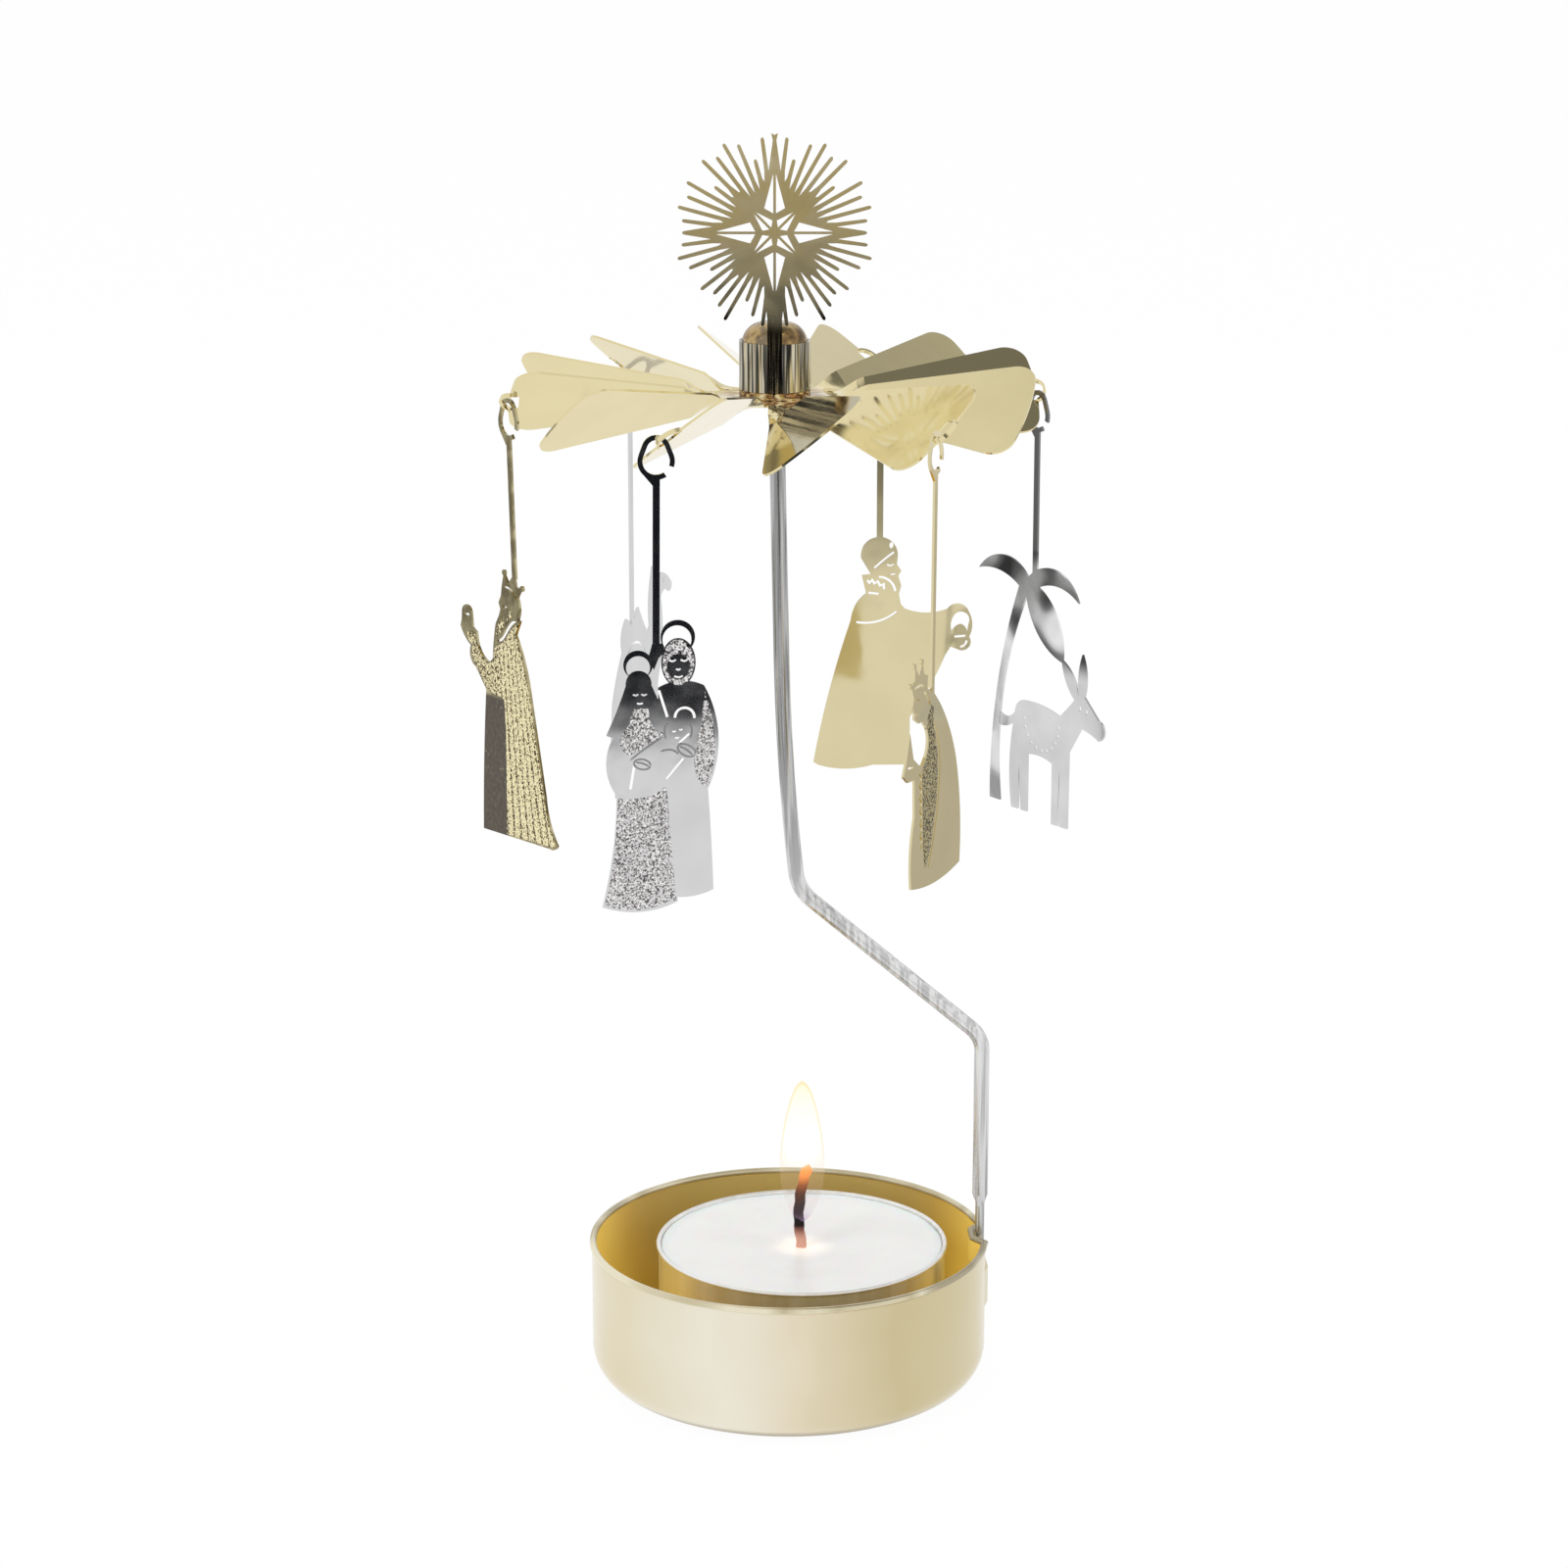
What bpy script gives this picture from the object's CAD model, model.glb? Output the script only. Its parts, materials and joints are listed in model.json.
import json
from math import ceil, cos, hypot, pi, radians, sin

import bmesh
import bpy
from mathutils import Matrix, Vector, noise
from mathutils.geometry import delaunay_2d_cdt


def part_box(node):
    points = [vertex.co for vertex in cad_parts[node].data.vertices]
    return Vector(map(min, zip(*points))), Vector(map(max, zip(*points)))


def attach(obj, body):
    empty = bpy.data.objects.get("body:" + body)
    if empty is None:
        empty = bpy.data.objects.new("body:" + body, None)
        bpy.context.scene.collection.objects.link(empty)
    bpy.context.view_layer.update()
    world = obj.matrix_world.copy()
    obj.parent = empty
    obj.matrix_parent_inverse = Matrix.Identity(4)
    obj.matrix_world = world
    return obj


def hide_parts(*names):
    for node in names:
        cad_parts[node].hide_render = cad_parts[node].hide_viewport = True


# Rotary tealight carousel: finishes, embossing, wax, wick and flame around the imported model.
# Sizes are in millimetres and become metres through mm.
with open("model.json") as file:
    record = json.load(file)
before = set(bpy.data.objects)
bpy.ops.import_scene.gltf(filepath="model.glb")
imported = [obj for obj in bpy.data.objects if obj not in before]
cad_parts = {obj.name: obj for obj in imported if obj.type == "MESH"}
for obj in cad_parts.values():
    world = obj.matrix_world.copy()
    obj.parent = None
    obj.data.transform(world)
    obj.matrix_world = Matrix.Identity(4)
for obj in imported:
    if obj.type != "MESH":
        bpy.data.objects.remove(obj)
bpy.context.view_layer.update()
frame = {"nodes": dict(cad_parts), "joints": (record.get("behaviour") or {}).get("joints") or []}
nodes = frame["nodes"]
frame_joint = {joint["name"]: joint for joint in frame["joints"]}
mm = 0.001

# Camera: the photograph's eye and pitch, turned with the model about the upright axis
image_pixels = 1600
focal_pixels = 4156.25
sensor_width = 36.0
eye_mm = (-0.61, -500.3, 210.35)
camera_pitch = radians(14.64)
camera_turn = radians(-3.0)

# Light
world_fill = 0.60
floor_glow_share = 0.96
floor_glow = 1.01
lamp_aim_height = 90
# Darker parts of the studio that only mirrors see: azimuth, elevation, full and faded angle, depth
dim_lobes = [
    (35.0, 72.0, 4.0, 34.0, 0.78),
    (100.0, 3.0, 3.0, 14.0, 0.50),
    (60.0, 20.0, 6.0, 26.0, 0.22),
]

# Sheet metal: half its thickness, how deep embossing starts in it, its soft border, and its mesh
sheet_half = 0.15
relief_sink = 0.01
ridge_sink = 0.02
relief_edge = 0.2
grain_step = 0.13
grain_row_share = 0.87
grain_clear_share = 0.4
# Shares of grain and pleats in a pleated panel
pleated_grain_share = 0.45
pleat_share = 0.55
# Roughness of a sheet's dullest spots as a share of its polished ones, and the share of its scratches
dull_share = 1.6
scratch_share = 0.004

# Tealight
can_axis_x = 1.7
wax_radius = 18.33
wax_bottom_z = 0.75
wax_top_z = 17.5


# Node helpers

def add(tree, kind, inputs=None, **settings):
    """New shader node with its settings, and its inputs set or linked."""
    made = tree.nodes.new("ShaderNode" + kind)
    for key, value in settings.items():
        setattr(made, key, value)
    for key, value in (inputs or {}).items():
        if isinstance(value, bpy.types.NodeSocket):
            tree.links.new(value, made.inputs[key])
        else:
            made.inputs[key].default_value = value
    return made


def ramp(tree, factor, stops):
    """Colour ramp over a factor, with stops of (place, grey or colour)."""
    made = add(tree, "ValToRGB", {"Fac": factor})
    elements = made.color_ramp.elements
    while len(elements) < len(stops):
        elements.new(0.5)
    for element, (place, colour) in zip(elements, stops):
        element.position = place
        tint = (colour,) * 3 if isinstance(colour, (int, float)) else colour
        element.color = (*tint, 1)
    return made.outputs["Color"]


def blended(tree, factor, first, second):
    """Colour mix of two colours or sockets."""
    made = add(tree, "Mix", {"Factor": factor}, data_type="RGBA")
    slots = [socket for socket in made.inputs if socket.type == "RGBA"]
    for slot, value in zip(slots, (first, second)):
        if isinstance(value, bpy.types.NodeSocket):
            tree.links.new(value, slot)
        else:
            slot.default_value = (*value, 1)
    return next(socket for socket in made.outputs if socket.type == "RGBA")


def maths(tree, operation, first, second=0.0):
    """Math node of one or two values."""
    return add(tree, "Math", {0: first, 1: second}, operation=operation).outputs[0]


def vector_maths(tree, operation, first, second, output="Vector"):
    """Vector math node of two vectors."""
    return add(tree, "VectorMath", {0: first, 1: second}, operation=operation).outputs[output]


def parts_of(tree, vector):
    """The X, Y and Z outputs of a vector."""
    return add(tree, "SeparateXYZ", {"Vector": vector}).outputs


def clamped(tree, value, low, high, to_low=0.0, to_high=1.0):
    """Map of a value from one range to another, smoothed and clamped."""
    made = add(
        tree, "MapRange",
        {"Value": value, "From Min": low, "From Max": high, "To Min": to_low, "To Max": to_high},
        interpolation_type="SMOOTHSTEP",
    )
    return made.outputs["Result"]


def faded(tree, length, fade_mm, origin=0.0, strength=1.0):
    """Rise from 0 to a strength between two places, given in millimetres from an origin."""
    start, end = (origin + edge * mm for edge in fade_mm)
    return clamped(tree, length, start, end, 0.0, strength)


def new_material(name, **uniform):
    """Principled material, its tree, its shader and its object coordinates."""
    material = bpy.data.materials.new(name)
    material.use_nodes = True
    tree = material.node_tree
    shader = tree.nodes["Principled BSDF"]
    for key, value in uniform.items():
        shader.inputs[key.replace("_", " ")].default_value = value
    place = add(tree, "TexCoord").outputs["Object"]
    return material, tree, shader, place


def feed(tree, shader, **sockets):
    """Link sockets to a shader's inputs, named with underlines for their spaces."""
    for key, socket in sockets.items():
        tree.links.new(socket, shader.inputs[key.replace("_", " ")])


def noise_of(tree, place, size_mm, detail=2.0, stretch=(1, 1, 1)):
    """Noise with features of about a size in millimetres."""
    scaled = add(tree, "Mapping", {"Vector": place, "Scale": stretch}).outputs["Vector"]
    made = add(tree, "TexNoise", {"Vector": scaled, "Scale": 1 / (size_mm * mm), "Detail": detail})
    return made.outputs["Fac"]


def set_bump(tree, shader, height, strength, depth_mm):
    """Fine unevenness of a surface, from a height and its depth in millimetres."""
    bump = add(tree, "Bump", {"Height": height, "Strength": strength, "Distance": depth_mm * mm})
    feed(tree, shader, Normal=bump.outputs["Normal"])


def set_roughness(tree, shader, pattern, smooth, rough, low=0.3, high=0.7):
    """Roughness that rises with a pattern."""
    feed(tree, shader, Roughness=clamped(tree, pattern, low, high, smooth, rough))


def finish_sheet(tree, shader, place, roughness):
    """Polish of a rolled sheet: soft waves, hairline scratches and a slow change of gloss."""
    gloss = noise_of(tree, place, 3.0, detail=3.0)
    set_roughness(tree, shader, gloss, roughness, roughness * dull_share, low=0.35, high=0.75)
    waves = noise_of(tree, place, 5.0, detail=1.0)
    scratches = noise_of(tree, place, 0.25, detail=3.0, stretch=(1, 1, 0.12))
    height = maths(tree, "ADD", waves, maths(tree, "MULTIPLY", scratches, scratch_share))
    set_bump(tree, shader, height, strength=0.35, depth_mm=0.05)


def sheet_material(name, colour, tarnish, roughness):
    """Plated mirror sheet: slight waves, fine scratches and a faint change of tone."""
    material, tree, shader, place = new_material(name, Metallic=1.0)
    tone = ramp(tree, noise_of(tree, place, 9.0), [(0.35, tarnish), (0.65, colour)])
    feed(tree, shader, Base_Color=tone)
    finish_sheet(tree, shader, place, roughness)
    return material


def relief_material(name, crest, middle, valley, roughness, mesh_share, spread=0.08):
    """Embossed sheet: bright crests and dark valleys, from the height kept on the mesh and a finer grain."""
    material, tree, shader, place = new_material(name, Metallic=1.0)
    height = add(tree, "Attribute", attribute_name="relief").outputs["Fac"]
    fine = noise_of(tree, place, 0.22, detail=1.5)
    raised = maths(tree, "MULTIPLY", maths(tree, "SUBTRACT", height, 0.5), mesh_share)
    centre = 0.49
    tone = ramp(tree, maths(tree, "ADD", fine, raised), [
        (centre - spread, valley), (centre, middle), (centre + spread, crest)])
    feed(tree, shader, Base_Color=tone)
    set_roughness(tree, shader, fine, roughness, roughness * dull_share)
    set_bump(tree, shader, fine, strength=0.5, depth_mm=0.05)
    return material


def axis_reach(tree, place, axis_x):
    """Distance from an upright axis."""
    flat = vector_maths(tree, "MULTIPLY", place, (1, 1, 0))
    return vector_maths(tree, "DISTANCE", flat, (axis_x, 0, 0), "Value")


gold = (0.76, 0.665, 0.39)
gold_deep = (0.73, 0.635, 0.365)
silver = (0.66, 0.66, 0.668)
silver_deep = (0.62, 0.62, 0.628)

rotor_x = frame_joint["rotor_spin"]["pos_m"][0]
# Star's rolled sleeve, and the heights above it where its streaks and then the dark foot fade out
sleeve_height = 6.0
sleeve_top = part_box("star_topper")[0][2] + sleeve_height * mm
streak_fade = (0.1, 2.4)
dark_foot_fade = (1.0, 3.2)
dark_foot_slope = 0.35


def star_material():
    """Star plated paler in front than behind, dark at its foot, with streaks on its rolled sleeve."""
    material, tree, shader, place = new_material("star_sheet", Metallic=1.0)
    parts = parts_of(tree, place)
    bright = ramp(tree, noise_of(tree, place, 4.0), [(0.35, (0.90, 0.86, 0.66)), (0.65, (0.96, 0.92, 0.74))])
    normal = add(tree, "TexCoord").outputs["Normal"]
    behind = clamped(tree, parts_of(tree, normal)["Y"], 0.2, 0.6)
    plated = blended(tree, behind, bright, gold)
    aside = maths(tree, "ABSOLUTE", maths(tree, "SUBTRACT", parts["X"], rotor_x))
    leaned = maths(tree, "SUBTRACT", parts["Z"], maths(tree, "MULTIPLY", aside, dark_foot_slope))
    body = blended(tree, faded(tree, leaned, dark_foot_fade, sleeve_top), (0.08, 0.07, 0.05), plated)
    streaks = noise_of(tree, place, 0.75, stretch=(1, 1, 0.03))
    sleeve = ramp(tree, streaks, [
        (0.30, (0.50, 0.47, 0.38)), (0.37, (0.10, 0.09, 0.07)), (0.44, (0.015, 0.016, 0.018)),
        (0.49, (0.14, 0.13, 0.11)), (0.535, (0.72, 0.65, 0.48)), (0.58, (0.28, 0.24, 0.17)),
        (0.64, (0.05, 0.045, 0.04)), (0.72, (0.45, 0.41, 0.33)),
    ])
    above = faded(tree, parts["Z"], streak_fade, sleeve_top)
    feed(tree, shader, Base_Color=blended(tree, above, sleeve, body))
    finish_sheet(tree, shader, place, roughness=0.09)
    return material


def cap_material():
    """Amber and brown dome of the bearing cap."""
    material, tree, shader, place = new_material("cap_brass", Metallic=1.0)
    tone = ramp(tree, noise_of(tree, place, 2.2), [
        (0.32, (0.10, 0.065, 0.035)), (0.46, (0.26, 0.17, 0.075)),
        (0.56, (0.50, 0.36, 0.17)), (0.66, (0.22, 0.17, 0.11)),
    ])
    feed(tree, shader, Base_Color=tone)
    finish_sheet(tree, shader, place, roughness=0.14)
    return material


# Distances from the rotor's axis where the fan's hub tones end and its blades' gold begins
hub_fade = (5.2, 8.0)


def fan_material():
    """Gold mirror blades, with coppery and dark tones on the collar and the hub."""
    material, tree, shader, place = new_material("fan_gold", Metallic=1.0)
    base = ramp(tree, noise_of(tree, place, 9.0), [(0.35, gold_deep), (0.65, gold)])
    rings = noise_of(tree, place, 1.1, stretch=(0.5, 0.5, 1.6))
    hub = ramp(tree, rings, [
        (0.34, (0.75, 0.66, 0.40)), (0.43, (0.40, 0.21, 0.11)), (0.50, (0.08, 0.05, 0.03)),
        (0.56, (0.42, 0.27, 0.12)), (0.64, (0.85, 0.77, 0.52)),
    ])
    apart = faded(tree, axis_reach(tree, place, rotor_x), hub_fade)
    feed(tree, shader, Base_Color=blended(tree, apart, hub, base))
    finish_sheet(tree, shader, place, roughness=0.06)
    return material


gold_sheet = sheet_material("gold_sheet", (0.70, 0.62, 0.385), (0.67, 0.59, 0.36), roughness=0.06)
silver_sheet = sheet_material("silver_sheet", silver, silver_deep, roughness=0.06)
silver_line = sheet_material("silver_line", (0.34, 0.34, 0.345), (0.22, 0.22, 0.225), roughness=0.16)
gold_relief = relief_material(
    "gold_relief", crest=(0.92, 0.83, 0.52), middle=(0.36, 0.285, 0.115), valley=(0.03, 0.021, 0.009),
    roughness=0.22, mesh_share=0.34, spread=0.06)
olive_relief = relief_material(
    "olive_relief", crest=(0.46, 0.39, 0.20), middle=(0.17, 0.135, 0.06), valley=(0.03, 0.022, 0.01),
    roughness=0.25, mesh_share=0.20)
silver_relief = relief_material(
    "silver_relief", crest=(0.93, 0.92, 0.92), middle=(0.50, 0.485, 0.48), valley=(0.10, 0.095, 0.10),
    roughness=0.20, mesh_share=0.20, spread=0.11)

# Cup wall in section: its corner's centre, the mid-sheet's distance from it, half the blend of its faces
cup_corner_reach = 21.2
cup_corner_height = 4.5
cup_mid_sheet = 4.27
cup_face_blend = 0.1
cup_rim_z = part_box("base_cup")[1][2]
# Fades of the cup's rim line below its top, of its shaded foot, and of the candle's glow behind and
# in front of the axis
cup_rim_fade = (-0.75, -0.55)
cup_foot_fade = (1.9, 0.7)
cup_glow_behind = (19, 5)
cup_glow_before = (-14, -4)
# How the outer tone changes over the cup's width, and how far soft clouds shift it
cup_tone_width = 56
cup_tone_cloud = 0.22
cup_tone_middle = 0.40


def cup_outside(tree, parts, reach):
    """1 on the cup's outer face and 0 on its inner one, from the wall's section."""
    beyond = maths(tree, "MAXIMUM", maths(tree, "SUBTRACT", reach, cup_corner_reach * mm), 0.0)
    below = maths(tree, "MAXIMUM", maths(tree, "SUBTRACT", cup_corner_height * mm, parts["Z"]), 0.0)
    beyond_squared = maths(tree, "MULTIPLY", beyond, beyond)
    below_squared = maths(tree, "MULTIPLY", below, below)
    depth = maths(tree, "SQRT", maths(tree, "ADD", beyond_squared, below_squared))
    return faded(tree, depth, (cup_mid_sheet - cup_face_blend, cup_mid_sheet + cup_face_blend))


def cup_tones(tree, place, parts, outside, at_rim):
    """Pale gold outside that darkens to the right, amber inside, a shaded foot and a broken rim line."""
    slow = noise_of(tree, place, 16.0)
    across = maths(tree, "MULTIPLY", parts["X"], 1 / (cup_tone_width * mm))
    clouded = maths(tree, "ADD", across, maths(tree, "MULTIPLY", slow, cup_tone_cloud))
    pale = ramp(tree, maths(tree, "ADD", clouded, cup_tone_middle), [
        (0.06, (0.74, 0.66, 0.47)), (0.32, (0.83, 0.79, 0.66)), (0.52, (0.76, 0.67, 0.50)),
        (0.74, (0.60, 0.52, 0.31)), (0.95, (0.64, 0.56, 0.36)),
    ])
    amber = ramp(tree, slow, [(0.35, (0.84, 0.66, 0.22)), (0.65, (0.92, 0.74, 0.29))])
    foot = maths(tree, "MULTIPLY", outside, faded(tree, parts["Z"], cup_foot_fade))
    wall = blended(tree, foot, blended(tree, outside, amber, pale), (0.28, 0.22, 0.12))
    edge = noise_of(tree, place, 16.0, detail=1.0, stretch=(1, 1, 0.1))
    rim = ramp(tree, edge, [
        (0.36, (0.80, 0.74, 0.56)), (0.48, (0.56, 0.49, 0.32)),
        (0.56, (0.74, 0.68, 0.50)), (0.66, (0.40, 0.35, 0.24)),
    ])
    return blended(tree, at_rim, wall, rim)


def cup_material():
    """Gold mirror, pale outside and amber inside, with fine drawing lines round the wall."""
    material, tree, shader, place = new_material(
        "cup_gold", Metallic=1.0, Emission_Color=(1.0, 0.68, 0.10, 1))
    parts = parts_of(tree, place)
    outside = cup_outside(tree, parts, axis_reach(tree, place, 0.0))
    at_rim = faded(tree, parts["Z"], cup_rim_fade, cup_rim_z)
    feed(tree, shader, Base_Color=cup_tones(tree, place, parts, outside, at_rim))
    within = maths(tree, "SUBTRACT", 1.0, maths(tree, "MAXIMUM", outside, at_rim))
    behind = faded(tree, parts["Y"], cup_glow_behind, strength=0.30)
    candle = maths(tree, "MULTIPLY", behind, faded(tree, parts["Y"], cup_glow_before))
    feed(tree, shader, Emission_Strength=maths(tree, "MULTIPLY", within, candle))
    feed(tree, shader, Metallic=clamped(tree, outside, 0.0, 1.0, 0.62, 1.0))
    lines = noise_of(tree, place, 0.6, detail=4.0, stretch=(0.1, 0.1, 1))
    smear = maths(tree, "SUBTRACT", 0.34, maths(tree, "MULTIPLY", outside, 0.20))
    rough = maths(tree, "ADD", smear, clamped(tree, lines, 0.3, 0.7, 0.0, 0.06))
    feed(tree, shader, Roughness=rough)
    waves = noise_of(tree, place, 9.0, detail=1.0)
    height = maths(tree, "ADD", waves, maths(tree, "MULTIPLY", lines, 0.02))
    set_bump(tree, shader, height, strength=0.4, depth_mm=0.10)
    return material


# Height over which the wire's tones change
wire_tone_height = 140


def wire_material():
    """Bright drawn steel wire with soft lines along it, duller towards its top and its tongue."""
    material, tree, shader, place = new_material("wire_steel", Metallic=1.0)
    lines = noise_of(tree, place, 0.55, stretch=(1, 1, 0.03))
    share = maths(tree, "MULTIPLY", parts_of(tree, place)["Z"], 1 / (wire_tone_height * mm))
    dull = ramp(tree, share, [
        (0.06, 0.22), (0.18, 0.36), (0.30, 0.50), (0.42, 0.54), (0.55, 0.34), (0.95, 0.24)])
    bright = ramp(tree, share, [
        (0.06, 0.42), (0.18, 0.66), (0.30, 0.76), (0.42, 0.78), (0.55, 0.62), (0.95, 0.46)])
    tone = blended(tree, clamped(tree, lines, 0.40, 0.60), dull, bright)
    feed(tree, shader, Base_Color=tone)
    set_roughness(tree, shader, lines, 0.18, 0.28)
    set_bump(tree, shader, lines, strength=0.2, depth_mm=0.01)
    return material


def can_material():
    """Thin aluminium with soft upright creases."""
    material, tree, shader, place = new_material("can_aluminium", Metallic=0.85)
    creases = noise_of(tree, place, 1.6, detail=3.0, stretch=(1, 1, 0.05))
    tone = ramp(tree, creases, [(0.3, (0.80, 0.79, 0.76)), (0.7, (0.93, 0.92, 0.90))])
    feed(tree, shader, Base_Color=tone)
    set_roughness(tree, shader, creases, 0.28, 0.40)
    set_bump(tree, shader, creases, strength=0.3, depth_mm=0.06)
    return material


# Distances from the wick's foot over which the wax begins to glow
wax_glow_fade = (5.0, 0.5)


def wax_material():
    """White paraffin wax, softly lumpy, with a warmer glow round the wick."""
    material, tree, shader, place = new_material(
        "wax_white", Roughness=0.34, IOR=1.44, Subsurface_Weight=0.35, Subsurface_Scale=2.0 * mm,
        Emission_Color=(1.0, 0.78, 0.55, 1))
    cloud = noise_of(tree, place, 5.0, detail=3.0)
    tone = ramp(tree, cloud, [(0.3, (0.96, 0.955, 0.945)), (0.7, (1.0, 0.995, 0.985))])
    feed(tree, shader, Base_Color=tone)
    wick_foot = (can_axis_x * mm, 0, wax_top_z * mm)
    apart = vector_maths(tree, "DISTANCE", place, wick_foot, "Value")
    glow = faded(tree, apart, wax_glow_fade, strength=0.35)
    feed(tree, shader, Emission_Strength=glow)
    set_bump(tree, shader, cloud, strength=0.3, depth_mm=0.3)
    return material


# Heights between which the wick's tones change, and those over which its tip begins to glow
wick_tone_range = (17.4, 28.9)
wick_glow_fade = (24.0, 28.6)


def wick_material():
    """Burnt cotton: reddish at the foot, black above and a glowing tip."""
    material, tree, shader, place = new_material("wick_cotton", Roughness=0.95)
    height = parts_of(tree, place)["Z"]
    tone = ramp(tree, faded(tree, height, wick_tone_range), [
        (0.02, (0.75, 0.40, 0.30)), (0.09, (0.30, 0.12, 0.09)), (0.15, (0.006, 0.003, 0.003)),
        (0.50, (0.010, 0.004, 0.003)), (0.68, (0.07, 0.018, 0.008)), (0.82, (0.30, 0.08, 0.02)),
        (0.95, (0.80, 0.24, 0.05)),
    ])
    feed(tree, shader, Base_Color=tone, Emission_Color=tone)
    feed(tree, shader, Emission_Strength=faded(tree, height, wick_glow_fade, strength=0.7))
    fibres = noise_of(tree, place, 0.3, detail=3.0)
    set_bump(tree, shader, fibres, strength=0.8, depth_mm=0.1)
    return material


def tin_material():
    """Tinplate of the wick's foot."""
    material, tree, shader, place = new_material("clip_tin", Metallic=1.0)
    mottle = noise_of(tree, place, 0.8, detail=3.0)
    tone = ramp(tree, mottle, [(0.3, (0.55, 0.55, 0.56)), (0.7, (0.72, 0.72, 0.73))])
    feed(tree, shader, Base_Color=tone)
    set_roughness(tree, shader, mottle, 0.25, 0.45)
    return material


def dress(node, material):
    """Give a carried node one material."""
    piece = nodes[node]
    piece.data.materials.clear()
    piece.data.materials.append(material)
    for polygon in piece.data.polygons:
        polygon.material_index = 0


# Hook, across direction and normal of each hanger's drawing plane
hanger_frames = {}
for joint in frame["joints"]:
    if joint["child"].endswith("_hanger"):
        normal = Vector(joint["axis"]).normalized()
        hanger_frames[joint["child"]] = (Vector(joint["pos_m"]), Vector((0, 0, 1)).cross(normal), normal)


def drawing_place(tree, place, hanger):
    """Across and up coordinates of a hanger's drawing plane, in millimetres from its hook."""
    origin, across = hanger_frames[hanger][:2]
    offset = vector_maths(tree, "SUBTRACT", place, tuple(origin))
    scaled = vector_maths(tree, "MULTIPLY", offset, (1 / mm,) * 3)
    u = vector_maths(tree, "DOT_PRODUCT", scaled, tuple(across), "Value")
    return u, parts_of(tree, scaled)["Z"]


# Where tones set in on the hangers, from a first to a second coordinate: the jar king's dark panel,
# then the palm's trunk, leaves and rod
jar_panel_top = (-36.4, -37.2)
jar_panel_side = (-1.5, -1.7)
palm_trunk_side = (-4.4, -5.2)
palm_trunk_shade = 0.55
palm_leaves_foot = (-34.0, -31.0)
palm_rod_foot = (-19.2, -18.4)


def jar_sheet():
    """Olive gold sheet with a dark scratched panel beside the robe."""
    material, tree, shader, place = new_material("gold_sheet_jar", Metallic=1.0)
    u, v = drawing_place(tree, place, "king_jar_hanger")
    olive = ramp(tree, noise_of(tree, place, 2.0), [(0.38, (0.28, 0.235, 0.13)), (0.62, (0.52, 0.46, 0.27))])
    scratches = noise_of(tree, place, 0.5, detail=5.0)
    dark = ramp(tree, scratches, [
        (0.40, (0.085, 0.070, 0.055)), (0.66, (0.115, 0.10, 0.075)), (0.74, (0.40, 0.34, 0.22))])
    panel = maths(tree, "MULTIPLY", clamped(tree, v, *jar_panel_top), clamped(tree, u, *jar_panel_side))
    feed(tree, shader, Base_Color=blended(tree, panel, olive, dark))
    finish_sheet(tree, shader, place, roughness=0.07)
    return material


def palm_sheet():
    """Silver with light and dark running over the leaves, a grey rod and a quieter animal."""
    material, tree, shader, place = new_material("silver_sheet_palm", Metallic=1.0)
    u, v = drawing_place(tree, place, "donkey_hanger")
    clouds = noise_of(tree, place, 4.5, detail=0.0)
    shades = ramp(tree, clouds, [(0.34, 0.06), (0.48, 0.22), (0.60, 0.62), (0.72, 0.80)])
    calm = ramp(tree, noise_of(tree, place, 6.0), [(0.35, 0.58), (0.65, 0.68)])
    trunk = maths(tree, "MULTIPLY", clamped(tree, u, *palm_trunk_side), palm_trunk_shade)
    share = maths(tree, "MAXIMUM", trunk, clamped(tree, v, *palm_leaves_foot))
    plated = blended(tree, share, calm, shades)
    tone = blended(tree, clamped(tree, v, *palm_rod_foot), plated, (0.20, 0.20, 0.20))
    feed(tree, shader, Base_Color=tone)
    finish_sheet(tree, shader, place, roughness=0.07)
    return material


finishes = {
    "base_cup": cup_material(),
    "stem_wire": wire_material(),
    "tealight_can": can_material(),
    "wick_clip": tin_material(),
    "fan": fan_material(),
    "bearing_cap": cap_material(),
    "star_topper": star_material(),
    "hanger_king_jar": jar_sheet(),
    "hanger_king_casket": gold_sheet,
    "hanger_king_censer": gold_sheet,
    "hanger_donkey": palm_sheet(),
    "hanger_family": silver_sheet,
    "hanger_camel": silver_sheet,
}
for node, finish in finishes.items():
    dress(node, finish)
wax_white = wax_material()
wick_cotton = wick_material()


# Mesh helpers

def mesh_object(name, verts, faces, material):
    """Object of a new mesh with one material, linked to the scene."""
    mesh = bpy.data.meshes.new(name)
    mesh.from_pydata(verts, [], faces)
    mesh.materials.append(material)
    made = bpy.data.objects.new(name, mesh)
    bpy.context.scene.collection.objects.link(made)
    return made


def new_piece(name, verts, faces, material, body):
    """Smooth mesh piece that rides on a body."""
    piece = mesh_object(name, verts, faces, material)
    for polygon in piece.data.polygons:
        polygon.use_smooth = True
    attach(piece, body)
    return piece


def lathe(profile, centre_x, steps, lift_at=None):
    """Vertices and faces of a profile of (radius, height) in millimetres, turned about an upright axis."""
    verts = []
    faces = []
    rows = len(profile)
    for step in range(steps):
        turn = 2 * pi * step / steps
        for radius, height in profile:
            lift = lift_at(radius, height, turn) if lift_at else 0
            x = centre_x + radius * cos(turn)
            verts.append((x * mm, radius * sin(turn) * mm, (height + lift) * mm))
    for step in range(steps):
        here = step * rows
        after = (step + 1) % steps * rows
        for row in range(rows - 1):
            faces.append((here + row, after + row, after + row + 1, here + row + 1))
    return verts, faces


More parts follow.
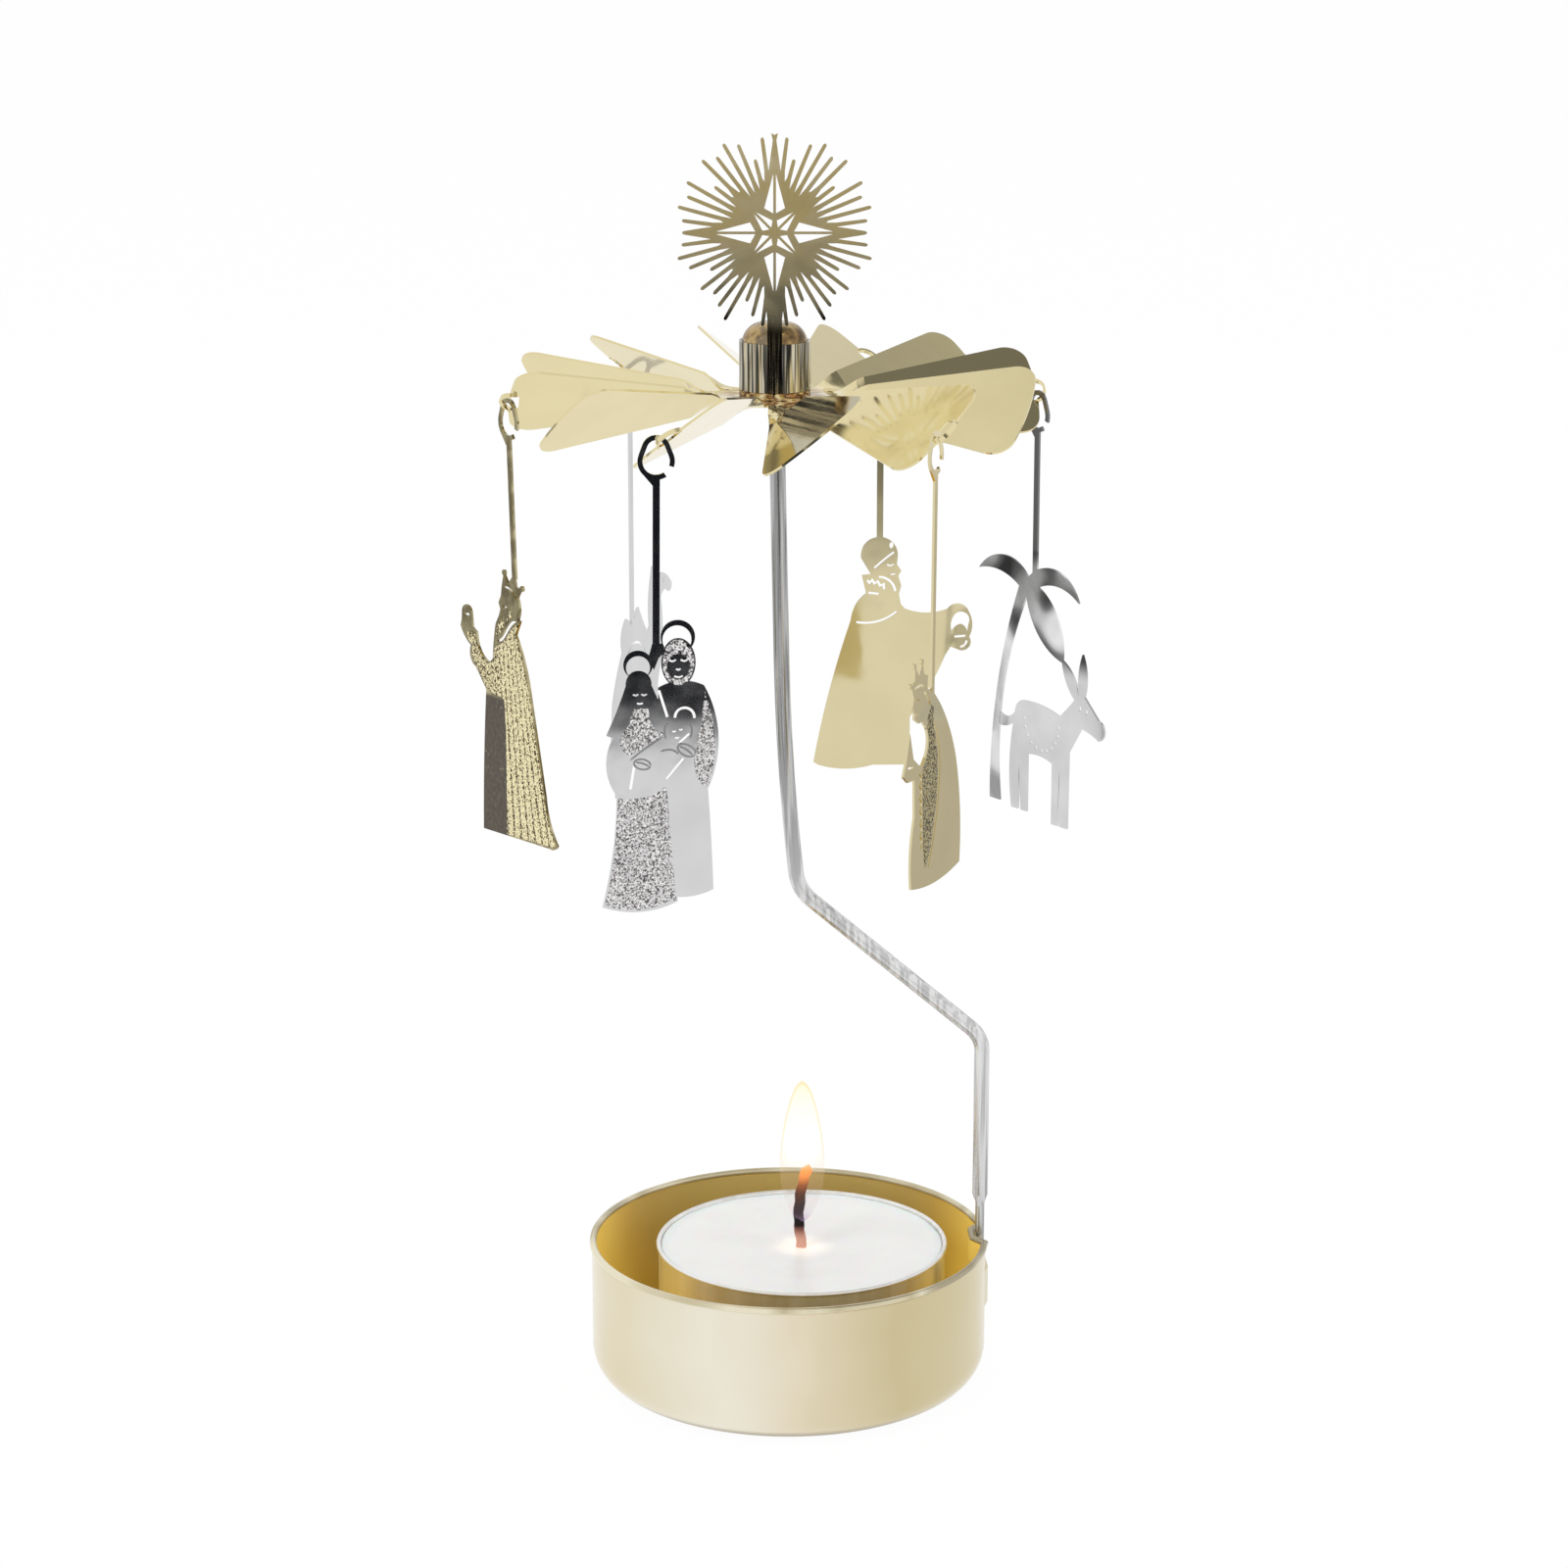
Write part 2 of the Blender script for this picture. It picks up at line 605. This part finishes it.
def closed_ends(piece):
    """Merge the points on the axis and make the normals point out."""
    made = bmesh.new()
    made.from_mesh(piece.data)
    bmesh.ops.remove_doubles(made, verts=made.verts, dist=0.001 * mm)
    bmesh.ops.recalc_face_normals(made, faces=made.faces)
    made.to_mesh(piece.data)
    made.free()
    for polygon in piece.data.polygons:
        polygon.use_smooth = True


# Wax: the recess over the wick's clip, its corner at the can's foot and its lip at the can's wall as points
# inward and up from the wall, and the melted dish round the wick
recess_neck_radius = 1.2
recess_radius = 6.1
recess_height = 0.4
foot_corner = [(1.3, 0), (0.3, 0.5), (0, 1.5)]
lip = [(0, -1.0), (0, 0.18), (0.25, 0.12)]
lip_width = 0.6
dish_reach = 12.0
dish_depth = 0.38
dish_rows = 26
# Top layer of the wax that is uneven, with the size and height of its soft lumps and of its fine ones
uneven_layer = 0.7
lump_size = 4.2
lump_height = 0.10
fine_lump_size = 1.3
fine_lump_height = 0.02
lump_calm_reach = 3


def wax_lift(radius, height, turn):
    """Unevenness of the wax's top, calm at the wick."""
    if height < wax_top_z - uneven_layer:
        return 0
    x, y = radius * cos(turn), radius * sin(turn)
    soft = noise.noise(Vector((x / lump_size, y / lump_size, 0.7)))
    fine = noise.noise(Vector((x / fine_lump_size, y / fine_lump_size, 4.1)))
    return lump_height * soft * min(1.0, radius / lump_calm_reach) + fine_lump_height * fine


def make_wax():
    """Wax with a shallow melted dish round the wick and a lip drawn up at the can."""
    recess_top = wax_bottom_z + recess_height
    profile = [
        (0, recess_top), (recess_neck_radius, recess_top), (recess_radius, recess_top),
        (recess_radius, wax_bottom_z),
    ]
    profile += [(wax_radius - inward, wax_bottom_z + up) for inward, up in foot_corner]
    profile += [(wax_radius - inward, wax_top_z + up) for inward, up in lip]
    for row in range(dish_rows + 1):
        radius = (wax_radius - lip_width) * (1 - row / dish_rows)
        edge = min(1.0, radius / dish_reach)
        profile.append((radius, wax_top_z - dish_depth * (1 - edge ** 4)))
    verts, faces = lathe(profile, can_axis_x, steps=120, lift_at=wax_lift)
    wax = new_piece("wax_cake", verts, faces, wax_white, "tealight")
    closed_ends(wax)
    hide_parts("tealight_wax")


# Wick: its line, its radius, its strands' height and turn in radians per millimetre, and its burnt end,
# whose lumps are the closer, the larger their two rates
wick_route_mm = [
    (1.70, 1.1), (1.70, 9.0), (1.70, 15.0), (1.68, 17.4), (1.42, 19.2), (1.28, 21.0), (1.38, 23.0),
    (1.62, 25.0), (2.05, 26.8), (2.62, 28.4),
]
wick_radius = 0.60
strands = 3
strand_height = 0.14
strand_turn = 2.4
burn_foot = 17.8
burn_fade = 1.5
burn_lump = 0.07
lump_rate_round = 1.4
lump_rate_along = 1.1
wick_tip_rows = 4


def wick_path():
    """Points of the wick's smooth line, in metres."""
    curve = bpy.data.curves.new("wick_line", "CURVE")
    curve.dimensions = "3D"
    spline = curve.splines.new("NURBS")
    spline.points.add(len(wick_route_mm) - 1)
    for point, (x, z) in zip(spline.points, wick_route_mm):
        point.co = (x * mm, 0, z * mm, 1)
    spline.order_u = 3
    spline.use_endpoint_u = True
    spline.resolution_u = 14
    holder = bpy.data.objects.new("wick_line", curve)
    path = [vertex.co.copy() for vertex in bpy.data.meshes.new_from_object(holder).vertices]
    bpy.data.objects.remove(holder)
    return path


def make_wick():
    """Three plaited strands along the wick's bent line, lumpy where they have burnt."""
    path = wick_path()
    verts = []
    faces = []
    sides = 18
    length = 0.0
    for row, spot in enumerate(path):
        ahead = path[min(row + 1, len(path) - 1)] - path[max(row - 1, 0)]
        side = Vector((0, 1, 0))
        out = ahead.normalized().cross(side).normalized()
        if row:
            length += (spot - path[row - 1]).length / mm
        burnt = max(0.0, min(1.0, (spot.z / mm - burn_foot) / burn_fade))
        for step in range(sides):
            turn = 2 * pi * step / sides
            plait = 0.5 + 0.5 * cos(strands * turn + strand_turn * length)
            ring = (cos(turn) * lump_rate_round, sin(turn) * lump_rate_round)
            lump = noise.noise(Vector((*ring, length * lump_rate_along)))
            radius = wick_radius + strand_height * plait + burn_lump * lump * burnt
            if row > len(path) - wick_tip_rows:
                radius *= (len(path) - row) / wick_tip_rows
            verts.append(spot + (out * cos(turn) + side * sin(turn)) * radius * mm)
    for row in range(len(path) - 1):
        here = row * sides
        above = here + sides
        for step in range(sides):
            after = (step + 1) % sides
            faces.append((here + step, here + after, above + after, above + step))
    faces.append(tuple(range(sides))[::-1])
    faces.append(tuple((len(path) - 1) * sides + step for step in range(sides)))
    wick = new_piece("wick_braid", verts, faces, wick_cotton, "tealight")
    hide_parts("tealight_wick")


# Flame: heights of its foot and tip, its shift from the can's axis, and half widths as shares of the widest
flame_foot = 20.6
flame_top = 39.9
flame_shift = 0.05
flame_half_width = 2.95
flame_shape_shares = [
    (0.0, 0.10), (0.03, 0.32), (0.08, 0.53), (0.15, 0.74), (0.24, 0.91), (0.34, 0.99), (0.44, 1.0),
    (0.55, 0.95), (0.66, 0.85), (0.76, 0.72), (0.85, 0.57), (0.92, 0.42), (0.97, 0.27), (1.0, 0.06),
]


def flame_material(name, stops, strength, cover_stops):
    """Glowing gas: colour and cover change with height only."""
    material, tree, shader, place = new_material(
        name, Roughness=1.0, Base_Color=(0, 0, 0, 1), Specular_IOR_Level=0, Emission_Strength=strength)
    share = add(tree, "MapRange", {
        "Value": parts_of(tree, place)["Z"], "From Min": flame_foot * mm, "From Max": flame_top * mm,
    }).outputs["Result"]
    feed(tree, shader, Emission_Color=ramp(tree, share, stops), Alpha=ramp(tree, share, cover_stops))
    return material


def make_flame():
    """Flame in three nested shells: a bright core and body above, and a thin yellow veil round them."""
    white = [
        (0.0, (0.9, 0.8, 0.7)), (0.45, (1.0, 1.0, 0.98)),
        (0.85, (1.0, 1.0, 0.95)), (1.0, (1.0, 0.96, 0.80)),
    ]
    yellow = [
        (0.0, (0.50, 0.34, 0.60)), (0.20, (0.80, 0.50, 0.42)), (0.42, (1.0, 0.76, 0.42)),
        (0.65, (1.0, 0.87, 0.48)), (1.0, (1.0, 0.83, 0.38)),
    ]
    # Name, width and trimmed height as shares of the flame, glow and its strength, and cover by height
    shells = [
        ("flame_core", 0.70, 0.07, white, 1.3, [(0.42, 0.0), (0.52, 0.6), (0.60, 1.0)]),
        ("flame_body", 0.90, 0.03, white, 1.3, [(0.41, 0.0), (0.54, 0.45), (0.66, 0.80)]),
        ("flame_veil", 1.0, 0.0, yellow, 1.0, [
            (0.0, 0.30), (0.08, 0.08), (0.32, 0.06), (0.46, 0.16), (0.62, 0.26), (1.0, 0.45)]),
    ]
    for name, width_share, trim_share, stops, strength, cover_stops in shells:
        profile = []
        for along, half in flame_shape_shares:
            share = trim_share + along * (1 - 2 * trim_share)
            height = flame_foot + (flame_top - flame_foot) * share
            profile.append((flame_half_width * half * width_share, height))
        profile = [(0, profile[0][1])] + profile + [(0, profile[-1][1])]
        verts, faces = lathe(profile, can_axis_x + flame_shift, steps=48)
        gas = flame_material(name, stops, strength, cover_stops)
        flame = new_piece(name, verts, faces, gas, "tealight")
        closed_ends(flame)
        smooth = flame.modifiers.new("smooth", "SUBSURF")
        smooth.levels = 1
        smooth.render_levels = 1
        flame.visible_shadow = False


# Embossed panels

def inside(spot, outline):
    """True if a point lies in a closed outline."""
    x, y = spot
    odd = False
    for (x1, y1), (x2, y2) in zip(outline, outline[1:] + outline[:1]):
        if (y1 > y) != (y2 > y) and x < (x2 - x1) * (y - y1) / (y2 - y1) + x1:
            odd = not odd
    return odd


def edge_distance(spot, outline):
    """Distance from a point to a closed outline."""
    x, y = spot
    best = 1e9
    for (x1, y1), (x2, y2) in zip(outline, outline[1:] + outline[:1]):
        dx, dy = x2 - x1, y2 - y1
        share = max(0.0, min(1.0, ((x - x1) * dx + (y - y1) * dy) / (dx * dx + dy * dy)))
        best = min(best, hypot(x - x1 - share * dx, y - y1 - share * dy))
    return best


def grain(u, v, size, seed):
    """Worm-like grains: 0 in a valley and 1 on a crest."""
    bend = 0.5 * size * noise.noise(Vector((u / size / 2, v / size / 2, seed)))
    first = noise.noise(Vector(((u + bend) / size, (v - bend) / size, seed + 3.7)))
    second = noise.noise(Vector((u / size * 2.1, v / size * 2.1, seed + 9.2)))
    return max(0.0, min(1.0, 0.5 + 1.15 * first + 0.35 * second))


def on_panel(spot, loops):
    """True if a point lies inside a panel's outline and outside its hole."""
    return inside(spot, loops[0]) and not any(inside(spot, hole) for hole in loops[1:])


def border_distance(spot, loops):
    """Distance from a point to the nearest loop of a panel."""
    return min(edge_distance(spot, loop) for loop in loops)


def panel_mesh(loops):
    """Points and triangles of a flat panel, given by its outline and, after it, its hole."""
    points = []
    edges = []
    for loop in loops:
        first = len(points)
        for (x1, y1), (x2, y2) in zip(loop, loop[1:] + loop[:1]):
            count = max(1, ceil(hypot(x2 - x1, y2 - y1) / (2 * grain_step)))
            for step in range(count):
                points.append((x1 + (x2 - x1) * step / count, y1 + (y2 - y1) * step / count))
        rim = len(points) - first
        edges += [(first + step, first + (step + 1) % rim) for step in range(rim)]
    xs = [x for x, y in loops[0]]
    ys = [y for x, y in loops[0]]
    clear = grain_clear_share * grain_step
    for row in range(int((max(ys) - min(ys)) / (grain_step * grain_row_share)) + 1):
        y = min(ys) + row * grain_step * grain_row_share
        shift = grain_step / 2 if row % 2 else 0
        for column in range(int((max(xs) - min(xs)) / grain_step) + 1):
            x = min(xs) + shift + column * grain_step
            if on_panel((x, y), loops) and border_distance((x, y), loops) > clear:
                points.append((x, y))
    made = delaunay_2d_cdt([Vector(point) for point in points], edges, [], 1, 1e-6)
    flat = made[0]
    faces = []
    for face in made[2]:
        middle = sum((flat[corner] for corner in face), Vector((0, 0))) / len(face)
        if len(loops) == 1 or on_panel(middle, loops):
            faces.append(face)
    used = sorted({corner for face in faces for corner in face})
    index = {old: new for new, old in enumerate(used)}
    faces = [tuple(index[corner] for corner in face) for face in faces]
    return [flat[corner] for corner in used], faces


def sheet_point(hanger, u, v, lift):
    """Point over a hanger's drawing plane, in metres."""
    origin, across, normal = hanger_frames[hanger]
    return origin + (across * u + Vector((0, 0, v)) + normal * lift) * mm


def relief(name, hanger, outline, material, height=0.09, size=0.34, pleats=None, seed=1.0, hole=None):
    """Raised panel on both faces of a hanger, given in millimetres of its drawing plane."""
    loops = [outline, hole] if hole else [outline]
    flat, faces = panel_mesh(loops)
    heights = []
    for spot in flat:
        value = grain(spot.x, spot.y, size, seed)
        if pleats:
            value = pleated_grain_share * value + pleat_share * pleats(spot.x, spot.y)
        heights.append(value * min(1.0, border_distance(spot, loops) / relief_edge))
    verts = []
    for side in (1, -1):
        for spot, value in zip(flat, heights):
            lift = side * (sheet_half - relief_sink + height * value)
            verts.append(sheet_point(hanger, spot.x, spot.y, lift))
    back = [tuple(corner + len(flat) for corner in reversed(face)) for face in faces]
    piece = new_piece(name, verts, faces + back, material, hanger)
    attribute = piece.data.attributes.new("relief", "FLOAT", "POINT")
    attribute.data.foreach_set("value", heights + heights)


def ridges(name, hanger, lines, material, width, height):
    """Thin raised lines on both faces of a hanger, narrower and lower at their ends."""
    section = [(-0.5, 0.0), (-0.32, 0.7), (0.0, 1.0), (0.32, 0.7), (0.5, 0.0)]
    end_taper = 0.35
    verts = []
    faces = []
    for side in (1, -1):
        for line in lines:
            first = len(verts)
            for row, (u, v) in enumerate(line):
                before = line[max(row - 1, 0)]
                after = line[min(row + 1, len(line) - 1)]
                du, dv = after[0] - before[0], after[1] - before[1]
                length = hypot(du, dv)
                taper = end_taper if row in (0, len(line) - 1) else 1.0
                for share, rise in section:
                    shift = share * width * taper
                    lift = side * (sheet_half - ridge_sink + height * rise * taper)
                    verts.append(sheet_point(hanger, u - dv / length * shift, v + du / length * shift, lift))
            for row in range(len(line) - 1):
                for step in range(len(section) - 1):
                    here = first + row * len(section) + step
                    ahead = here + len(section)
                    quad = (here, here + 1, ahead + 1, ahead)
                    faces.append(quad if side < 0 else quad[::-1])
    new_piece(name, verts, faces, material, hanger)


def oval(u, v, half_u, half_v, lean=0.0, steps=24):
    """Points of an oval that leans by an angle in degrees, the first one again at the end."""
    slant = radians(lean)
    points = []
    for step in range(steps + 1):
        turn = radians(360.0 * step / steps)
        du, dv = half_u * cos(turn), half_v * sin(turn)
        points.append((u + du * cos(slant) - dv * sin(slant), v + du * sin(slant) + dv * cos(slant)))
    return points


def bent_line(first, middle, last, steps=10):
    """Points of a gentle curve through three points."""
    points = []
    for step in range(steps + 1):
        share = step / steps
        weights = ((1 - share) * (1 - 2 * share), 4 * share * (1 - share), share * (2 * share - 1))
        pairs = list(zip(weights, (first, middle, last)))
        points.append(tuple(sum(weight * point[side] for weight, point in pairs) for side in (0, 1)))
    return points


# Outlines of the panels, across and up from the hook in millimetres
king_jar_robe = [
    (-3.5, -29.9), (-2.6, -29.75), (-1.5, -28.95), (-0.2, -27.5), (0.9, -26.8), (1.5, -26.3),
    (1.9, -26.4), (1.05, -28.0), (1.75, -29.3), (2.65, -31.2), (3.85, -34.5), (5.45, -40.9),
    (7.05, -47.6), (8.0, -50.9), (9.55, -53.3), (9.0, -53.85), (8.1, -53.95), (3.0, -54.2),
    (-1.9, -54.45), (-1.8, -49.0), (-1.7, -41.0), (-2.0, -36.9), (-4.1, -36.7), (-6.1, -36.2),
    (-7.4, -34.8), (-9.5, -32.6), (-9.45, -31.2), (-10.6, -30.5), (-10.6, -29.6), (-9.2, -29.2),
    (-8.4, -29.5), (-8.2, -30.6), (-7.0, -32.1), (-5.7, -32.75), (-4.5, -32.25), (-4.2, -30.6),
]
king_jar_beard = [
    (-3.1, -27.1), (-2.4, -26.8), (-1.6, -26.75), (-0.8, -26.0), (-0.35, -25.1), (0.25, -25.1),
    (0.2, -25.9), (-0.5, -26.45), (-1.35, -27.1), (-2.3, -28.2), (-3.4, -29.0), (-3.7, -28.6),
]
family_skirt = [
    (-4.9, -41.9), (-3.2, -42.1), (-1.0, -41.8), (0.3, -41.1), (1.0, -40.3), (1.15, -43.0),
    (1.35, -46.0), (1.65, -50.0), (2.05, -54.9), (-0.2, -55.6), (-2.3, -56.0), (-4.6, -55.9),
    (-6.7, -55.4), (-5.95, -52.2), (-5.3, -47.6),
]
family_chest = [
    (-3.1, -31.0), (-1.1, -31.0), (-0.95, -32.6), (-0.4, -33.6), (0.7, -34.1), (0.3, -34.6),
    (-0.9, -35.4), (-2.4, -36.3), (-3.5, -36.9), (-4.3, -36.2), (-4.75, -35.2), (-4.4, -34.2),
    (-3.5, -33.0),
]
family_sleeve = [
    (5.55, -28.9), (6.1, -30.6), (6.55, -32.6), (6.85, -35.2), (6.75, -37.6), (6.2, -40.2),
    (5.7, -40.9), (4.9, -40.5), (4.4, -39.2), (4.2, -37.6), (4.4, -35.6), (5.0, -33.4), (5.3, -31.0),
]
casket_stripe = [
    (-0.9, -31.1), (-0.2, -31.6), (-0.25, -33.5), (0.45, -35.2), (1.2, -37.8), (1.2, -41.8),
    (0.75, -44.4), (0.05, -46.7), (-1.0, -49.2), (-2.0, -50.9), (-2.6, -51.1), (-3.0, -49.9),
    (-3.3, -48.4), (-3.5, -44.0), (-3.7, -39.0), (-3.5, -38.3), (-2.6, -37.6), (-1.75, -36.4),
    (-1.65, -35.2), (-2.3, -33.7), (-2.2, -32.4),
]

# Robe pleats: their width, their lean, how they widen below a height, and the edge of the plain sleeve
pleat_width = 0.95
pleat_lean = 0.10
pleat_middle = -45.0
pleat_fan_top = -34.0
pleat_fan = 0.035
sleeve_edge = -3.4
sleeve_fade = 1.2
sleeve_level = 0.6
crest_gain = 1.6


def robe_pleats(u, v):
    """Pleats that fan out from the shoulder to the hem, none on the sleeve."""
    spread = 1.0 + max(0.0, pleat_fan_top - v) * pleat_fan
    pleat = abs(cos(pi * (u + pleat_lean * (v - pleat_middle)) / (pleat_width * spread)))
    share = max(0.0, min(1.0, (u - sleeve_edge) / sleeve_fade))
    return sleeve_level + (min(1.0, crest_gain * pleat) - sleeve_level) * share


def make_reliefs():
    """Embossed panels of the jar king, the family and the casket king, and the family's hands and folds."""
    jar_king, family = "king_jar_hanger", "family_hanger"
    relief("robe_jar", jar_king, king_jar_robe, gold_relief, pleats=robe_pleats, seed=1.3)
    relief("beard_jar", jar_king, king_jar_beard, gold_relief, seed=7.9)
    relief("skirt_family", family, family_skirt, silver_relief, height=0.06, seed=2.1)
    relief(
        "chest_family", family, family_chest, silver_relief,
        height=0.07, size=0.40, seed=3.4)
    relief(
        "sleeve_family", family, family_sleeve, silver_relief,
        height=0.07, size=0.45, seed=4.6)
    hair = oval(2.45, -25.55, 1.93, 2.83, steps=40)[:-1]
    face_opening = oval(2.45, -26.05, 1.32, 1.5, steps=28)[:-1]
    relief(
        "hair_family", family, hair, silver_relief,
        height=0.14, size=0.50, seed=5.2, hole=face_opening)
    relief("stripe_casket", "king_casket_hanger", casket_stripe, olive_relief, seed=6.5)
    hands = [
        oval(-1.95, -37.9, 1.0, 0.62, -12),
        bent_line((-2.7, -37.7), (-2.0, -37.75), (-1.1, -38.2)),
        oval(3.35, -36.3, 1.15, 0.66, -28),
        bent_line((2.5, -35.8), (3.3, -36.2), (4.1, -36.9)),
    ]
    folds = [
        bent_line((-3.4, -37.4), (-1.9, -36.2), (0.5, -34.6)),
        bent_line((0.9, -34.9), (0.75, -33.6), (1.3, -32.6)),
        bent_line((3.7, -34.9), (4.0, -33.8), (3.5, -32.8)),
        bent_line((0.2, -36.4), (1.5, -36.2), (2.4, -36.8)),
    ]
    ridges("hands_family", family, hands + folds, silver_line, width=0.26, height=0.10)


make_wax()
make_wick()
make_flame()
make_reliefs()


# Stage

def make_camera():
    """Camera at the photograph's eye and pitch, turned about the upright axis."""
    camera = bpy.data.cameras.new("camera")
    camera.sensor_width = sensor_width
    camera.lens = focal_pixels / image_pixels * sensor_width
    camera.clip_start = 10 * mm
    camera.clip_end = 20.0
    holder = bpy.data.objects.new("camera", camera)
    holder.location = Matrix.Rotation(camera_turn, 3, "Z") @ (Vector(eye_mm) * mm)
    holder.rotation_euler = (radians(90) - camera_pitch, 0, camera_turn)
    bpy.context.scene.collection.objects.link(holder)
    bpy.context.scene.camera = holder


def make_world():
    """White behind the object, white with dim lobes in its reflections, soft grey light on its matt parts."""
    world = bpy.data.worlds.new("studio")
    bpy.context.scene.world = world
    world.use_nodes = True
    tree = world.node_tree
    tree.nodes.clear()
    rays = add(tree, "LightPath").outputs
    seen = maths(tree, "MAXIMUM", rays["Is Camera Ray"], rays["Is Transmission Ray"])
    looking = add(tree, "TexCoord").outputs["Generated"]
    glare = 1.0
    for azimuth, elevation, full, faded_out, depth in dim_lobes:
        level = cos(radians(elevation))
        aim = (level * cos(radians(azimuth)), level * sin(radians(azimuth)), sin(radians(elevation)))
        near = vector_maths(tree, "DOT_PRODUCT", looking, aim, "Value")
        dimmed = clamped(tree, near, cos(radians(faded_out)), cos(radians(full)), 0.0, depth)
        glare = maths(tree, "SUBTRACT", glare, dimmed)
    mirrored = maths(tree, "MULTIPLY", rays["Is Glossy Ray"], glare)
    other = maths(tree, "SUBTRACT", 1.0, maths(tree, "MAXIMUM", seen, rays["Is Glossy Ray"]))
    bright = maths(tree, "ADD", seen, mirrored)
    strength = maths(tree, "ADD", bright, maths(tree, "MULTIPLY", other, world_fill))
    background = add(tree, "Background", {"Color": (1, 1, 1, 1), "Strength": strength})
    add(tree, "OutputWorld", {"Surface": background.outputs["Background"]})


def stage_mesh(name, verts, faces, material):
    """Mesh of the stage, which isn't part of the object."""
    piece = mesh_object(name, verts, faces, material)
    return piece


def make_floor():
    """Pale floor that keeps a soft shadow."""
    material, tree, shader, place = new_material(
        "floor_white", Roughness=1.0, Base_Color=(0.9, 0.9, 0.9, 1), Specular_IOR_Level=0)
    rays = add(tree, "LightPath").outputs
    bounced = maths(tree, "MAXIMUM", rays["Is Glossy Ray"], rays["Is Transmission Ray"])
    seen = maths(tree, "MAXIMUM", rays["Is Camera Ray"], bounced)
    glow = add(tree, "Emission", {"Color": (1, 1, 1, 1), "Strength": floor_glow}).outputs["Emission"]
    share = maths(tree, "MULTIPLY", seen, floor_glow_share)
    mix = add(tree, "MixShader", {0: share, 1: shader.outputs["BSDF"], 2: glow})
    tree.links.new(mix.outputs["Shader"], tree.nodes["Material Output"].inputs["Surface"])
    reach = 3.0
    verts = [(-reach, -reach, 0), (reach, -reach, 0), (reach, reach, 0), (-reach, reach, 0)]
    stage_mesh("floor", verts, [(0, 1, 2, 3)], material)


def shade_card(name, rows, height_mm, tone, fringe_mm):
    """Card above the floor that only mirrors see: rows of (y, left x, right x, cover), soft at both sides."""
    material = bpy.data.materials.new(name)
    material.use_nodes = True
    tree = material.node_tree
    tree.nodes.clear()
    shade = add(tree, "Emission", {"Color": (*tone, 1), "Strength": 1.0}).outputs["Emission"]
    clear = add(tree, "BsdfTransparent").outputs["BSDF"]
    share = add(tree, "Attribute", attribute_name="cover").outputs["Fac"]
    mix = add(tree, "MixShader", {0: share, 1: clear, 2: shade})
    add(tree, "OutputMaterial", {"Surface": mix.outputs["Shader"]})
    verts = []
    faces = []
    covers = []
    for y, left, right, cover in rows:
        edges = ((left - fringe_mm, 0.0), (left, cover), (right, cover), (right + fringe_mm, 0.0))
        for x, cover_there in edges:
            verts.append(Vector((x, y, height_mm)) * mm)
            covers.append(cover_there)
    for row in range(len(rows) - 1):
        for step in range(3):
            here = row * 4 + step
            faces.append((here, here + 1, here + 5, here + 4))
    card = stage_mesh(name, verts, faces, material)
    attribute = card.data.attributes.new("cover", "FLOAT", "POINT")
    attribute.data.foreach_set("value", covers)
    card.visible_camera = False
    card.visible_diffuse = False
    card.visible_shadow = False
    card.visible_transmission = False
    card.visible_volume_scatter = False


def lamp(name, place_mm, size_mm, power):
    """Square soft lamp, unseen in mirrors, aimed at the middle of the object."""
    data = bpy.data.lights.new(name, "AREA")
    data.size = size_mm * mm
    data.energy = power
    holder = bpy.data.objects.new(name, data)
    holder.location = Vector(place_mm) * mm
    aim = Vector((0, 0, lamp_aim_height)) * mm - holder.location
    holder.rotation_euler = aim.to_track_quat("-Z", "Y").to_euler()
    holder.visible_glossy = False
    bpy.context.scene.collection.objects.link(holder)


make_camera()
make_world()
make_floor()
lamp("lamp_left", (-650, -500, 700), size_mm=420, power=2.6)
lamp("lamp_right", (750, -350, 500), size_mm=420, power=1.4)
lamp("lamp_top", (0, 200, 900), size_mm=500, power=1.4)
shade_card("card_front", [
    (-391, -70, 66, 0), (-403, -70, 68, 1), (-480, -80, 74, 1), (-600, -100, 90, 1),
    (-740, -120, 108, 1), (-1060, -150, 130, 1), (-1110, -150, 130, 0),
], height_mm=2.0, tone=(0.012, 0.013, 0.016), fringe_mm=10)
shade_card("card_censer", [
    (-435, 82, 190, 0), (-470, 84, 200, 0.45), (-560, 100, 220, 0.72), (-700, 118, 240, 0.93),
    (-900, 130, 260, 0.97), (-1000, 130, 260, 0),
], height_mm=3.0, tone=(0.02, 0.018, 0.012), fringe_mm=12)
shade_card("card_far", [
    (-1080, -700, 700, 0), (-1130, -700, 700, 0.95), (-2500, -900, 900, 0.95), (-2700, -900, 900, 0),
], height_mm=1.5, tone=(0.335, 0.265, 0.12), fringe_mm=60)
shade_card("card_left", [
    (126, -470, -418, 0), (140, -560, -414, 0.85), (168, -640, -402, 0.6), (200, -720, -420, 0.6),
    (260, -760, -520, 0.6), (340, -780, -650, 0.5), (380, -780, -700, 0),
], height_mm=1.5, tone=(0.16, 0.16, 0.15), fringe_mm=12)
shade_card("card_right", [
    (95, 175, 215, 0), (125, 175, 262, 1), (200, 255, 345, 1), (300, 375, 480, 1), (400, 490, 610, 1),
    (450, 545, 680, 0),
], height_mm=2.0, tone=(0.62, 0.60, 0.56), fringe_mm=14)

bpy.context.scene.view_settings.view_transform = "Standard"
